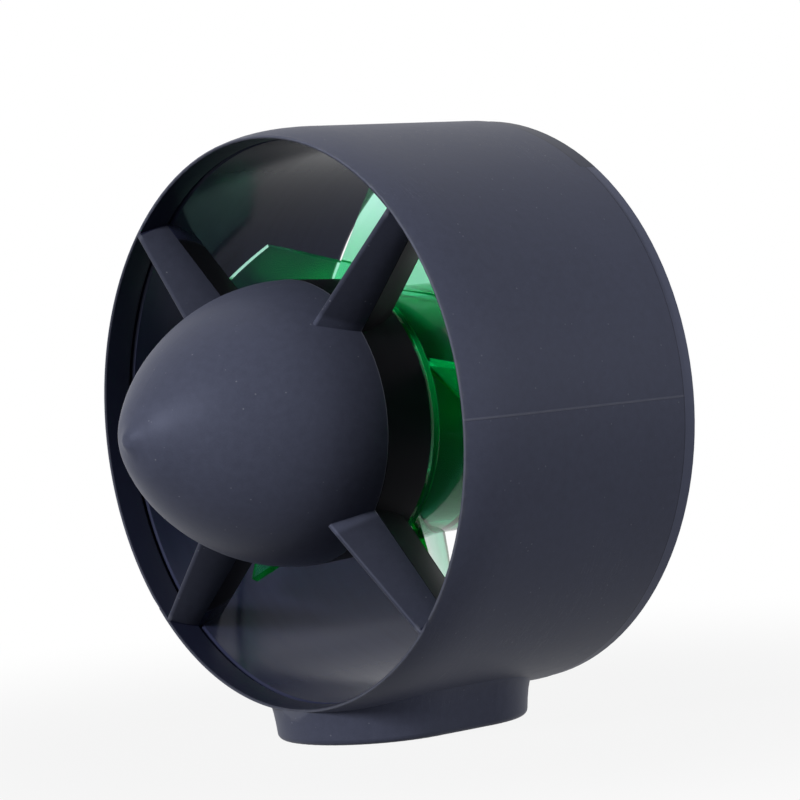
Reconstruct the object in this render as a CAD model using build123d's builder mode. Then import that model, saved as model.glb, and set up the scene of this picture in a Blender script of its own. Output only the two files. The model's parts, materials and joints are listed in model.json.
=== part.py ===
from build123d import *
from math import cos, radians, sin, sqrt, tan
import os

os.makedirs("parts", exist_ok=True)

# Ducted underwater thruster. Millimetres. +X is the way the thruster pushes, +Z is up.
# The origin is the middle of the foot's flat face. Stations along the thrust axis are
# counted from the plane of the front rim, positive forward.

# Duct
foot_height = 7.0
rim_ahead_of_foot = 38.3
duct_radius = 80.0
duct_length = 81.0
skin_wall = 1.6
liner_wall = 1.5
liner_gap = 0.3
lip_thickness = 0.9
lip_opening = 0.4
flare_length = 18.0
flare_slope = 0.35
seam_station = -8.0
seam_gap = 0.2
step_groove = 1.5
liner_edge = 0.5
rear_band = 4.0
band_inset = 0.3
exit_round = 2.2
tab_start = 52.5
tab_end = 127.5
tab_reach = 1.6
tab_play = 0.15

# Hub: the nose in front of the seam and the pod behind it
hub_radius = 38.9
nose_length = 56.5
nose_wall = 2.6
nose_tip_wall = 4.2
nose_curve_points = 10
nose_power = 1.5
pod_length = 15.2
pod_taper = 0.7
pod_wall = 3.0
bulkhead = 3.8

# Struts, split at the seam
strut_count = 4
first_strut_angle = 45.0
strut_half_root = 5.2
strut_half_tip = 4.0
strut_nose_root = 12.6
strut_nose_tip = 8.0
strut_nose_edge = 0.9
strut_nose_turn = 62.0
strut_side_middle = 0.68
strut_side_slope = 0.12
strut_tail_root = 12.3
strut_tail_tip = 10.4
strut_tail_edge = 0.7
strut_tail_bulge = 0.5
strut_overlap = 0.2

# Foot
foot_length = 74.0
foot_width = 54.0
foot_draft = 6.0
foot_wall = 3.4
foot_blend = 3.0
foot_blend_sharpness = 4
foot_levels = [0.0, 0.4, 0.7, 0.85, 1.0]
foot_edge = 1.8
foot_rib = 2.2
bolt_spacing_x = 50.0
bolt_spacing_y = 32.0
insert_radius = 3.4
insert_cover = 0.6
insert_bore = 2.1
insert_boss = 5.6
insert_recess = 0.2

# Cable way: through one lower strut, under the skin in a channel, and out of the foot's face
inlet_angle = 225.0
inlet_ahead = 25.0
foot_angle = 270.0
conduit_radius = 2.0
channel_in_liner = 0.8
channel_in_skin = 0.6
inlet_boss_radius = 6.8
gland_radius = 4.8
gland_depth = 6.0
gland_recess = 0.3
gland_screw_length = 2.0
gland_screw_bore = 3.2
gland_slot_width = 1.2
gland_slot_depth = 0.9
gland_washer_thickness = 0.4
cable_radius = 3.0

# Motor
thread_gap = 0.1
slip_gap = 0.02
running_gap = 0.05
shaft_radius = 4.0
bearing_outer = 8.0
bearing_width = 5.0
ball_radius = 1.2
ball_count = 8
race_gap = 0.08
bearing_tube = 10.0
bearing_inset = 0.8
tube_length = 32.0
tube_lip = 0.3
tube_clearance = 1.5
shaft_past_pod = 1.6
shaft_past_plate = 1.5
mount_flange = 4.0
mount_radius = 22.0
stator_radius = 27.0
stator_length = 20.0
stator_setback = 4.6
tooth_count = 12
tooth_width = 5.0
tooth_tip = 2.2
slot_mouth = 2.4
yoke_radius = 14.2
tooth_overlap = 1.0
insulator = 0.9
insulator_trim = 0.2
coil_root = 1.1
coil_tip = 3.0
coil_gap = 0.1
coil_yoke_gap = 0.6
air_gap = 0.6
magnet_thickness = 2.4
magnet_count = 14
magnet_gap = 1.4
magnet_length = 22.0
can_wall = 2.0
can_end = 3.0
can_boss = 7.0
can_boss_length = 3.0
can_front_gap = 3.4
can_end_gap = 2.0
spacer_wall = 1.8
seal_width = 3.0

# Propeller
blade_count = 5
blade_phase = -0.6
blade_tip_gap = 5.4
blade_lean = 45.0
blade_middle = 18.1
blade_lead_root = 22.4
blade_lead_tip = 12.4
blade_trail_root = 15.4
blade_trail_corner = 22.0
blade_trail_tip = 7.3
blade_corner_radius = 50.0
blade_blank = 27.0
prop_gap = 0.5
prop_hub_radius = 35.0
prop_lip_radius = 38.0
prop_lip = 2.6
prop_lip_blend = 3.0
prop_hub_length = 34.0
prop_plate = 3.4
prop_fit = 0.2

# Tail cap
cap_length = 11.0
cap_wall = 1.8
cap_spigot = 3.6
cap_boss = 5.0

# Driver board in the nose
board_radius = 25.0
board_thickness = 1.6
board_standoff = 12.0
board_bolt_circle = 21.0
capacitor_radius = 4.0
capacitor_length = 14.0
capacitor_circle = 11.0
capacitor_count = 3
capacitor_start = 60.0
capacitor_edge = 0.6
board_thread = 3.0
spacer_radius = 2.8
transistor_circle = 21.0
transistor_count = 6
transistor_start = 30.0
transistor_size = 6.0
transistor_height = 2.0
spacer_angles = [0.0, 120.0, 240.0]

# Small turned parts of the rotor
race_shoulder = 0.85
shaft_chamfer = 0.5
clip_groove = 0.5
clip_wall = 1.4
clip_opening = 2.6
clip_width = 0.8
can_vents = 6
can_vent_radius = 4.2
lip_round = 0.8
prop_screw_angles = [0.0, 60.0, 120.0, 180.0, 240.0, 300.0]
cap_screw_grip = 8.0
cap_screw_head = 3.2
cap_inset = 0.3

# Leads from the stator to the board
lead_radius = 1.2
lead_angles = [0.0, 90.0, 180.0]

# Screws
hub_screw_radius = 1.9
hub_screw_circle = 30.6
hub_boss_radius = 4.2
hub_boss_length = 13.0
hub_screw_grip = 10.0
small_screw_radius = 1.5
mount_screw_circle = 16.5
prop_screw_circle = 20.0
screw_head_ratio = 1.85
screw_head_height = 2.4
screw_socket_ratio = 1.0
screw_hole_spare = 1.0

# Worked out from the sizes above
axis_height = duct_radius + foot_height
insert_length = foot_height - insert_cover
bore_radius = duct_radius - skin_wall - liner_gap - liner_wall
liner_outer = bore_radius + liner_wall
skin_inner = duct_radius - skin_wall
lip_inner = bore_radius + lip_opening
lip_outer = lip_inner + lip_thickness
lip_middle = (lip_inner + lip_outer) / 2
lip_start = -lip_thickness / 2
liner_front = seam_station - step_groove
band_front = -duct_length + rear_band
pod_front = seam_station - seam_gap
pod_rear = pod_front - pod_length
pod_radius_rear = hub_radius - pod_taper
pod_inner = pod_radius_rear - pod_wall
bulkhead_rear = pod_front - bulkhead
mount_rear = bulkhead_rear - mount_flange
tube_rear = bulkhead_rear - tube_length
stator_front = mount_rear - stator_setback
stator_rear = stator_front - stator_length
magnet_inner = stator_radius + air_gap
magnet_outer = magnet_inner + magnet_thickness
can_inner = magnet_outer + slip_gap
can_radius = can_inner + can_wall
can_front = mount_rear - can_front_gap
can_end_front = tube_rear - can_end_gap
can_rear = can_end_front - can_end
prop_front = pod_rear - prop_gap
prop_rear = prop_front - prop_hub_length
plate_front = can_rear - slip_gap
plate_rear = plate_front - prop_plate
prop_bore = can_radius + prop_fit
blade_tip = bore_radius - blade_tip_gap
shaft_front = pod_front + shaft_past_pod
shaft_rear = plate_rear - shaft_past_plate
front_bearing_front = pod_front - bearing_inset
front_bearing_rear = front_bearing_front - bearing_width
rear_bearing_rear = tube_rear + seal_width
rear_bearing_front = rear_bearing_rear + bearing_width
clip_rear = front_bearing_front + thread_gap
clip_front = clip_rear + clip_width
ball_circle = (shaft_radius + bearing_outer) / 2
board_rear = pod_front + board_standoff
board_front = board_rear + board_thickness

strut_angles = [first_strut_angle + k * 360 / strut_count for k in range(strut_count)]
hub_screw_angles = [k * 90.0 for k in range(4)]
thrust_axis = Axis((rim_ahead_of_foot, 0, axis_height), (1, 0, 0))


# Planes. "profile_at" holds profiles to turn about the thrust axis: local x is the station,
# local y the radius at that angle. "across" is square to the axis and faces forward.
def profile_at(angle):
    c, s = cos(radians(angle)), sin(radians(angle))
    return Plane(origin=thrust_axis.position, x_dir=(1, 0, 0), z_dir=(0, -s, c))


side = profile_at(90.0)


def across(station):
    origin = (rim_ahead_of_foot + station, 0, axis_height)
    return Plane(origin=origin, x_dir=(0, 1, 0), z_dir=(1, 0, 0))


def outward(angle, radius, station, lean=90.0):
    """A plane that faces away from the axis. Its local x leans from the turning direction."""
    c, s = cos(radians(angle)), sin(radians(angle))
    ahead, turn = sin(radians(lean)), cos(radians(lean))
    origin = (rim_ahead_of_foot + station, radius * c, axis_height + radius * s)
    return Plane(origin=origin, x_dir=(ahead, -turn * s, turn * c), z_dir=(0, c, s))


def sleeve(outer, inner, rear, front):
    with BuildPart() as ring:
        with BuildSketch(across(rear)):
            Circle(outer)
            Circle(inner, mode=Mode.SUBTRACT)
        extrude(amount=front - rear)
    return ring


def screws(radius, circle, angles, head_rear, head_front, shank_end):
    """Socket-head screws on a circle. The shank runs from the head to shank_end."""
    faces_rear = shank_end > head_front
    shank_start, socket_face = (head_front, head_rear) if faces_rear else (head_rear, head_front)
    socket_depth = (head_front - head_rear) / 2
    with BuildPart() as group:
        with BuildSketch(across(head_rear)):
            with Locations(*polar_points(circle, angles)):
                Circle(radius * screw_head_ratio)
        extrude(amount=head_front - head_rear)
        with BuildSketch(across(shank_start)):
            with Locations(*polar_points(circle, angles)):
                Circle(radius)
        extrude(amount=shank_end - shank_start)
        with BuildSketch(across(socket_face)):
            with Locations(*polar_points(circle, angles)):
                RegularPolygon(radius * screw_socket_ratio, 6)
        extrude(amount=socket_depth if faces_rear else -socket_depth, mode=Mode.SUBTRACT)
    return group


def polar_points(radius, angles):
    return [(radius * cos(radians(a)), radius * sin(radians(a))) for a in angles]


def ogive(base_radius, length):
    """Points of the nose's outline, from its base to its tip, closer together near the tip."""
    turns = [radians(90 * k / (nose_curve_points - 1)) for k in range(nose_curve_points)]
    return [(seam_station + length * sin(t), base_radius * max(cos(t), 0) ** nose_power) for t in turns]


def nose_outline(base_radius, length):
    outline = ogive(base_radius, length)
    Spline(*outline, tangents=[(1, 0), (0, -1)])
    Line((seam_station + length, 0), (seam_station, 0))
    Line((seam_station, 0), (seam_station, base_radius))


def blend(root, tip, share):
    return root + (tip - root) * share


# Struts. Each section lies a share of the way from the root to the tip.
strut_root = hub_radius - nose_wall + strut_overlap
strut_tip = bore_radius + liner_wall / 2
strut_shares = [0.0, 0.35, 0.7, 1.0]


def front_strut_section(angle, share):
    radius = blend(strut_root, strut_tip, share)
    half = blend(strut_half_root, strut_half_tip, share)
    reach = blend(strut_nose_root, strut_nose_tip, share)
    turn_x, turn_y = cos(radians(strut_nose_turn)), sin(radians(strut_nose_turn))
    edge = (reach - strut_nose_edge * (1 - turn_x), strut_nose_edge * turn_y)
    middle = (reach / 2, half * strut_side_middle)
    with BuildSketch(outward(angle, radius, seam_station)) as section:
        with BuildLine():
            Spline((0, half), middle, edge, tangents=[(1, -strut_side_slope), (turn_y, -turn_x)])
            ThreePointArc(edge, (reach, 0), (edge[0], -edge[1]))
            Spline(
                (edge[0], -edge[1]), (middle[0], -middle[1]), (0, -half),
                tangents=[(-turn_y, -turn_x), (-1, -strut_side_slope)],
            )
            Line((0, -half), (0, half))
        make_face()
    return section.sketch


def rear_strut_section(angle, share):
    radius = blend(strut_root, strut_tip, share)
    half = blend(strut_half_root, strut_half_tip, share)
    reach = blend(strut_tail_root, strut_tail_tip, share)
    edge = strut_tail_edge
    middle = (half + edge) / 2 + strut_tail_bulge
    with BuildSketch(outward(angle, radius, pod_front)) as section:
        with BuildLine():
            ThreePointArc((0, half), (-reach / 2, middle), (-reach, edge))
            ThreePointArc((-reach, edge), (-reach - edge, 0), (-reach, -edge))
            ThreePointArc((-reach, -edge), (-reach / 2, -middle), (0, -half))
            Line((0, -half), (0, half))
        make_face()
    return section.sketch


# Foot: a drafted moulding with its underside cored out round ribs and insert bosses
def foot_outline(inset=0.0):
    SlotOverall(foot_length - 2 * inset, foot_width - 2 * inset)


def foot_section(share):
    """The foot widens with its draft, and then faster where it blends into the duct."""
    height = foot_top * share
    with BuildSketch(Plane.XY.offset(height)) as section:
        foot_outline(-height * tan(radians(foot_draft)) - foot_blend * share ** foot_blend_sharpness)
    return section.sketch


foot_top = axis_height - sqrt(skin_inner ** 2 - (foot_width / 2 + foot_blend) ** 2)

with BuildPart() as foot_core:
    with BuildSketch(Plane.XY):
        foot_outline(foot_wall)
        Rectangle(foot_length, foot_rib, mode=Mode.SUBTRACT)
        Rectangle(foot_rib, foot_width, mode=Mode.SUBTRACT)
        with GridLocations(bolt_spacing_x, bolt_spacing_y, 2, 2):
            Circle(insert_boss, mode=Mode.SUBTRACT)
        with Locations((inlet_ahead, 0)):
            Circle(inlet_boss_radius, mode=Mode.SUBTRACT)
    extrude(amount=foot_top)
    with BuildSketch(across(-duct_length)):
        Circle(duct_radius + skin_wall / 2)
    extrude(amount=duct_length, mode=Mode.SUBTRACT)


# The rear band comes forward in a tab at the top of the duct, into a notch in the skin
def tab_sector(play=0.0):
    corners = polar_points(2 * duct_radius, [tab_start + play, tab_end - play])
    Polygon((0, 0), *corners, align=None, mode=Mode.INTERSECT)


# The way for the cable's cores: a slanted bore through the strut, then a flat channel that runs
# under the skin to the middle of the foot, then a short bore down to the gland
channel_station = inlet_ahead - rim_ahead_of_foot
channel_floor = liner_outer - channel_in_liner
channel_roof = skin_inner + channel_in_skin
bore_start = outward(inlet_angle, hub_radius - 2 * nose_wall, seam_station).origin
bore_end = outward(inlet_angle, liner_outer, channel_station).origin

with BuildPart() as cable_way:
    with BuildSketch(Plane(origin=bore_start, z_dir=bore_end - bore_start)):
        Circle(conduit_radius)
    extrude(amount=(bore_end - bore_start).length)
    with BuildSketch(profile_at(inlet_angle)):
        with Locations((channel_station, (channel_floor + channel_roof) / 2)):
            Rectangle(2 * conduit_radius, channel_roof - channel_floor)
    revolve(axis=thrust_axis, revolution_arc=foot_angle - inlet_angle)
    with BuildSketch(Plane.XY.offset(gland_depth)):
        with Locations((inlet_ahead, 0)):
            Circle(conduit_radius)
    extrude(amount=foot_height + skin_wall - gland_depth)

# Shell: outer skin, front rim, front halves of the struts, nose and foot in one moulding
with BuildPart() as duct_shell:
    loft([foot_section(share) for share in foot_levels])
    fillet(duct_shell.edges().group_by(Axis.Z)[0], foot_edge)
    with BuildSketch(side):
        with BuildLine():
            Polyline(
                (foot_wall, 0), (foot_wall, lip_middle), (seam_station, lip_middle),
                (seam_station, skin_inner + skin_wall / 2), (-duct_length, skin_inner + skin_wall / 2),
                (-duct_length, 0), close=True,
            )
        make_face()
    revolve(axis=thrust_axis, mode=Mode.SUBTRACT)
    with BuildSketch(side):
        with BuildLine():
            ThreePointArc((lip_start, lip_inner), (0, lip_middle), (lip_start, lip_outer))
            Spline(
                (lip_start, lip_outer), (-flare_length, duct_radius),
                tangents=[(-1, flare_slope), (-1, 0)],
            )
            Polyline(
                (-flare_length, duct_radius), (band_front + seam_gap, duct_radius),
                (band_front + seam_gap, skin_inner), (seam_station, skin_inner),
                (seam_station, bore_radius),
            )
            TangentArc((seam_station, bore_radius), (lip_start, lip_inner), tangent=(1, 0))
        make_face()
    revolve(axis=thrust_axis)
    with BuildSketch(across(band_front)):
        Circle(duct_radius + skin_wall)
        Circle(liner_outer, mode=Mode.SUBTRACT)
        tab_sector()
    extrude(amount=seam_gap + tab_reach, mode=Mode.SUBTRACT)
    with BuildSketch(side):
        with BuildLine():
            nose_outline(hub_radius, nose_length)
        make_face()
    revolve(axis=thrust_axis)
    for angle in strut_angles:
        loft([front_strut_section(angle, share) for share in strut_shares])
    with BuildSketch(side):
        with BuildLine():
            nose_outline(hub_radius - nose_wall, nose_length - nose_tip_wall)
        make_face()
    revolve(axis=thrust_axis, mode=Mode.SUBTRACT)
    with BuildSketch(across(seam_station)):
        with Locations(*polar_points(hub_screw_circle, hub_screw_angles)):
            Circle(hub_boss_radius)
    extrude(amount=hub_boss_length)
    with BuildSketch(across(seam_station)):
        with Locations(*polar_points(hub_screw_circle, hub_screw_angles)):
            Circle(hub_screw_radius + thread_gap)
    extrude(amount=hub_screw_grip + screw_hole_spare, mode=Mode.SUBTRACT)
    add(foot_core.part, mode=Mode.SUBTRACT)
    with BuildSketch(Plane.XY):
        with GridLocations(bolt_spacing_x, bolt_spacing_y, 2, 2):
            Circle(insert_radius + slip_gap)
    extrude(amount=insert_length + insert_recess, mode=Mode.SUBTRACT)
    with BuildSketch(Plane.XY):
        with Locations((inlet_ahead, 0)):
            Circle(gland_radius + thread_gap)
    extrude(amount=gland_depth, mode=Mode.SUBTRACT)
    add(cable_way.part, mode=Mode.SUBTRACT)

duct_shell.part.label = "duct_shell"
export_step(duct_shell.part, "parts/duct_shell.step")

# Liner: inner wall, rear band with the bell-shaped exit, rear halves of the struts and motor pod
with BuildPart() as duct_liner:
    with BuildSketch(side):
        with BuildLine():
            Polyline(
                (band_front, bore_radius), (liner_front - liner_edge, bore_radius),
                (liner_front, bore_radius + liner_edge), (liner_front, liner_outer),
                (band_front, liner_outer),
                (band_front, duct_radius - band_inset),
                (-duct_length + band_inset, duct_radius - band_inset),
                (-duct_length, duct_radius - 2 * band_inset),
            )
            Line((-duct_length, duct_radius - 2 * band_inset), (-duct_length, bore_radius + exit_round))
            RadiusArc(
                (-duct_length, bore_radius + exit_round), (-duct_length + exit_round, bore_radius),
                -exit_round,
            )
            Line((-duct_length + exit_round, bore_radius), (band_front, bore_radius))
        make_face()
    revolve(axis=thrust_axis)
    with BuildSketch(across(band_front)):
        Circle(duct_radius - band_inset)
        Circle(liner_outer - liner_wall / 2, mode=Mode.SUBTRACT)
        tab_sector(tab_play)
    extrude(amount=tab_reach)
    with BuildSketch(side):
        with BuildLine():
            Polyline(
                (pod_front, 0), (pod_front, hub_radius), (pod_rear, pod_radius_rear), (pod_rear, pod_inner),
                (bulkhead_rear, pod_inner), (bulkhead_rear, 0), close=True,
            )
        make_face()
    revolve(axis=thrust_axis)
    for angle in strut_angles:
        loft([rear_strut_section(angle, share) for share in strut_shares])
    with BuildSketch(across(pod_front)):
        Circle(bearing_tube + thread_gap)
        with Locations(*polar_points(hub_screw_circle, hub_screw_angles)):
            Circle(hub_screw_radius + thread_gap)
        with Locations(*polar_points(mount_screw_circle, strut_angles)):
            Circle(small_screw_radius + thread_gap)
        with Locations(*polar_points(mount_screw_circle, lead_angles)):
            Circle(lead_radius + thread_gap)
    extrude(amount=-bulkhead, mode=Mode.SUBTRACT)
    with BuildSketch(across(pod_front)):
        with Locations(*polar_points(board_bolt_circle, spacer_angles)):
            Circle(small_screw_radius + thread_gap)
    extrude(amount=-board_thread - thread_gap, mode=Mode.SUBTRACT)
    add(cable_way.part, mode=Mode.SUBTRACT)

duct_liner.part.label = "duct_liner"
export_step(duct_liner.part, "parts/duct_liner.step")

# Threaded inserts in the foot
with BuildPart() as foot_inserts:
    with BuildSketch(Plane.XY.offset(insert_recess)):
        with GridLocations(bolt_spacing_x, bolt_spacing_y, 2, 2):
            Circle(insert_radius)
            Circle(insert_bore, mode=Mode.SUBTRACT)
    extrude(amount=insert_length)

foot_inserts.part.label = "foot_inserts"
export_step(foot_inserts.part, "parts/foot_inserts.step")

# Cable gland in the foot's face: hollow slotted screw, washer, rubber seal
gland_screw_top = gland_recess + gland_screw_length
gland_washer_top = gland_screw_top + gland_washer_thickness


def gland_ring(hole, bottom, top):
    with BuildPart() as ring:
        with BuildSketch(Plane.XY.offset(bottom)):
            with Locations((inlet_ahead, 0)):
                Circle(gland_radius)
                Circle(hole, mode=Mode.SUBTRACT)
        extrude(amount=top - bottom)
    return ring


with BuildPart() as gland_screw:
    add(gland_ring(gland_screw_bore, gland_recess, gland_screw_top).part)
    with BuildSketch(Plane.XY.offset(gland_recess)):
        with Locations((inlet_ahead, 0)):
            Rectangle(gland_slot_width, 2 * gland_radius + thread_gap)
    extrude(amount=gland_slot_depth, mode=Mode.SUBTRACT)

gland_screw.part.label = "gland_screw"
export_step(gland_screw.part, "parts/gland_screw.step")

gland_washer = gland_ring(gland_screw_bore, gland_screw_top, gland_washer_top)
gland_washer.part.label = "gland_washer"
export_step(gland_washer.part, "parts/gland_washer.step")

gland_seal = gland_ring(cable_radius, gland_washer_top, gland_depth)
gland_seal.part.label = "gland_seal"
export_step(gland_seal.part, "parts/gland_seal.step")

# Motor mount: flange on the bulkhead and the tube that carries both bearings and the stator
with BuildPart() as motor_mount:
    with BuildSketch(side):
        with BuildLine():
            Polyline(
                (front_bearing_front + tube_lip, bearing_outer + slip_gap),
                (front_bearing_front + tube_lip, bearing_tube),
                (bulkhead_rear, bearing_tube), (bulkhead_rear, mount_radius), (mount_rear, mount_radius),
                (mount_rear, bearing_tube), (tube_rear, bearing_tube),
                (tube_rear, bearing_outer + slip_gap), (rear_bearing_front, bearing_outer + slip_gap),
                (rear_bearing_front, shaft_radius + tube_clearance),
                (front_bearing_rear, shaft_radius + tube_clearance),
                (front_bearing_rear, bearing_outer + slip_gap), close=True,
            )
        make_face()
    revolve(axis=thrust_axis)
    with BuildSketch(across(mount_rear)):
        with Locations(*polar_points(mount_screw_circle, strut_angles)):
            Circle(small_screw_radius + slip_gap)
        with Locations(*polar_points(mount_screw_circle, lead_angles)):
            Circle(lead_radius + thread_gap)
    extrude(amount=mount_flange, mode=Mode.SUBTRACT)

motor_mount.part.label = "motor_mount"
export_step(motor_mount.part, "parts/motor_mount.step")

# Screws that hold the mount to the bulkhead and the pod to the nose
mount_screws = screws(
    small_screw_radius, mount_screw_circle, strut_angles,
    pod_front, pod_front + screw_head_height, mount_rear,
)
mount_screws.part.label = "mount_screws"
export_step(mount_screws.part, "parts/mount_screws.step")

hub_screws = screws(
    hub_screw_radius, hub_screw_circle, hub_screw_angles,
    bulkhead_rear - screw_head_height, bulkhead_rear, seam_station + hub_screw_grip,
)
hub_screws.part.label = "hub_screws"
export_step(hub_screws.part, "parts/hub_screws.step")

# Stator: laminations with teeth, end insulators, one coil on each tooth, three leads
tooth_angles = [k * 360 / tooth_count for k in range(tooth_count)]
slot_angles = [angle + 180 / tooth_count for angle in tooth_angles]


def stator_outline(trim=0.0):
    """Yoke, teeth and shoes. The insulators are the same outline, a little smaller."""
    Circle(stator_radius - trim)
    with Locations(*polar_points(stator_radius, slot_angles)):
        Circle(slot_mouth / 2 + trim, mode=Mode.SUBTRACT)
    Circle(stator_radius - tooth_tip + trim, mode=Mode.SUBTRACT)
    Circle(yoke_radius - trim)
    with PolarLocations((yoke_radius + stator_radius - tooth_tip) / 2, tooth_count):
        Rectangle(stator_radius - yoke_radius - tooth_tip + tooth_overlap, tooth_width - 2 * trim)
    Circle(bearing_tube + slip_gap + trim, mode=Mode.SUBTRACT)


with BuildPart() as stator_core:
    with BuildSketch(across(stator_rear)):
        stator_outline()
    extrude(amount=stator_length)

stator_core.part.label = "stator_core"
export_step(stator_core.part, "parts/stator_core.step")

with BuildPart() as stator_insulators:
    with BuildSketch(across(stator_rear - insulator)):
        stator_outline(insulator_trim)
    extrude(amount=insulator)
    with BuildSketch(across(stator_front)):
        stator_outline(insulator_trim)
    extrude(amount=insulator)

stator_insulators.part.label = "stator_insulators"
export_step(stator_insulators.part, "parts/stator_insulators.step")

coil_start = yoke_radius + coil_yoke_gap
stator_middle = (stator_front + stator_rear) / 2
coil_hole_width = tooth_width + 2 * coil_gap
coil_hole_height = stator_length + 2 * insulator + 2 * coil_gap
coil_corner = coil_hole_width / 2 + coil_tip
coil_length = sqrt((stator_radius - tooth_tip - coil_gap) ** 2 - coil_corner ** 2) - coil_start
lead_start = stator_middle + coil_hole_height / 2 + coil_tip

with BuildPart() as stator_coils:
    for angle in tooth_angles:
        with BuildSketch(outward(angle, coil_start, stator_middle)):
            Rectangle(coil_hole_height + 2 * coil_root, coil_hole_width + 2 * coil_root)
        with BuildSketch(outward(angle, coil_start + coil_length, stator_middle)):
            Rectangle(coil_hole_height + 2 * coil_tip, coil_hole_width + 2 * coil_tip)
        loft()
        with BuildSketch(outward(angle, coil_start, stator_middle)):
            Rectangle(coil_hole_height, coil_hole_width)
        extrude(amount=coil_length, mode=Mode.SUBTRACT)

stator_coils.part.label = "stator_coils"
export_step(stator_coils.part, "parts/stator_coils.step")

with BuildPart() as phase_leads:
    with BuildSketch(across(lead_start)):
        with Locations(*polar_points(mount_screw_circle, lead_angles)):
            Circle(lead_radius)
    extrude(amount=board_front - lead_start)

phase_leads.part.label = "phase_leads"
export_step(phase_leads.part, "parts/phase_leads.step")

# Bearings: outer rings with the housing, inner rings with the shaft, balls between
def bearing_outer_ring(front):
    rear = front - bearing_width
    middle = (front + rear) / 2
    with BuildPart() as ring:
        with BuildSketch(side):
            with BuildLine():
                Polyline(
                    (rear, bearing_outer), (front, bearing_outer), (front, ball_circle + race_shoulder),
                    (rear, ball_circle + race_shoulder), close=True,
                )
            make_face()
            with Locations((middle, ball_circle)):
                Circle(ball_radius + race_gap, mode=Mode.SUBTRACT)
        revolve(axis=thrust_axis)
    return ring


def bearing_inner_ring(front):
    rear = front - bearing_width
    middle = (front + rear) / 2
    with BuildPart() as ring:
        with BuildSketch(side):
            with BuildLine():
                Polyline(
                    (rear, shaft_radius + slip_gap), (front, shaft_radius + slip_gap),
                    (front, ball_circle - race_shoulder), (rear, ball_circle - race_shoulder), close=True,
                )
            make_face()
            with Locations((middle, ball_circle)):
                Circle(ball_radius + race_gap, mode=Mode.SUBTRACT)
        revolve(axis=thrust_axis)
    return ring


front_bearing_outer_ring = bearing_outer_ring(front_bearing_front)
front_bearing_outer_ring.part.label = "front_bearing_outer_ring"
export_step(front_bearing_outer_ring.part, "parts/front_bearing_outer_ring.step")

rear_bearing_outer_ring = bearing_outer_ring(rear_bearing_front)
rear_bearing_outer_ring.part.label = "rear_bearing_outer_ring"
export_step(rear_bearing_outer_ring.part, "parts/rear_bearing_outer_ring.step")

front_bearing_inner_ring = bearing_inner_ring(front_bearing_front)
front_bearing_inner_ring.part.label = "front_bearing_inner_ring"
export_step(front_bearing_inner_ring.part, "parts/front_bearing_inner_ring.step")

rear_bearing_inner_ring = bearing_inner_ring(rear_bearing_front)
rear_bearing_inner_ring.part.label = "rear_bearing_inner_ring"
export_step(rear_bearing_inner_ring.part, "parts/rear_bearing_inner_ring.step")

with BuildPart() as bearing_balls:
    for front in (front_bearing_front, rear_bearing_front):
        with Locations(across(front - bearing_width / 2)):
            with PolarLocations(ball_circle, ball_count):
                Sphere(ball_radius)

bearing_balls.part.label = "bearing_balls"
export_step(bearing_balls.part, "parts/bearing_balls.step")

# Rotor: shaft, its clip and spacer, steel can and magnets
with BuildPart() as motor_shaft:
    with BuildSketch(side):
        with BuildLine():
            Polyline(
                (shaft_rear, 0), (shaft_rear, shaft_radius - shaft_chamfer),
                (shaft_rear + shaft_chamfer, shaft_radius), (clip_rear, shaft_radius),
                (clip_rear, shaft_radius - clip_groove), (clip_front, shaft_radius - clip_groove),
                (clip_front, shaft_radius), (shaft_front - shaft_chamfer, shaft_radius),
                (shaft_front, shaft_radius - shaft_chamfer), (shaft_front, 0), close=True,
            )
        make_face()
    revolve(axis=thrust_axis)
    with BuildSketch(across(shaft_rear)):
        Circle(small_screw_radius + slip_gap)
    extrude(amount=cap_screw_grip + screw_hole_spare, mode=Mode.SUBTRACT)

motor_shaft.part.label = "motor_shaft"
export_step(motor_shaft.part, "parts/motor_shaft.step")

with BuildPart() as shaft_clip:
    with BuildSketch(across(clip_rear + slip_gap)):
        Circle(shaft_radius + clip_wall)
        Circle(shaft_radius - clip_groove + slip_gap, mode=Mode.SUBTRACT)
        with Locations((0, shaft_radius)):
            Rectangle(clip_opening, 2 * (clip_wall + clip_groove), mode=Mode.SUBTRACT)
    extrude(amount=clip_front - clip_rear - 2 * slip_gap)

shaft_clip.part.label = "shaft_clip"
export_step(shaft_clip.part, "parts/shaft_clip.step")

spacer_outer = shaft_radius + spacer_wall

shaft_spacer = sleeve(spacer_outer, shaft_radius + slip_gap, can_end_front, rear_bearing_rear)
shaft_spacer.part.label = "shaft_spacer"
export_step(shaft_spacer.part, "parts/shaft_spacer.step")

# Lip seal in the mouth of the tube. It runs on the spacer.
shaft_seal = sleeve(bearing_outer, spacer_outer + running_gap, tube_rear, rear_bearing_rear)
shaft_seal.part.label = "shaft_seal"
export_step(shaft_seal.part, "parts/shaft_seal.step")

vent_angles = [(k + 0.5) * 360 / can_vents for k in range(can_vents)]

with BuildPart() as rotor_can:
    with BuildSketch(side):
        with BuildLine():
            Polyline(
                (can_front, can_inner), (can_front, can_radius), (can_rear, can_radius),
                (can_rear, can_boss), (can_rear - can_boss_length, can_boss),
                (can_rear - can_boss_length, shaft_radius + slip_gap),
                (can_end_front, shaft_radius + slip_gap), (can_end_front, can_inner), close=True,
            )
        make_face()
    revolve(axis=thrust_axis)
    with BuildSketch(across(can_rear)):
        with Locations(*polar_points(prop_screw_circle, prop_screw_angles)):
            Circle(small_screw_radius + slip_gap)
        with Locations(*polar_points(prop_screw_circle, vent_angles)):
            Circle(can_vent_radius)
    extrude(amount=can_end, mode=Mode.SUBTRACT)

rotor_can.part.label = "rotor_can"
export_step(rotor_can.part, "parts/rotor_can.step")

magnet_rear = stator_middle - magnet_length / 2

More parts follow.
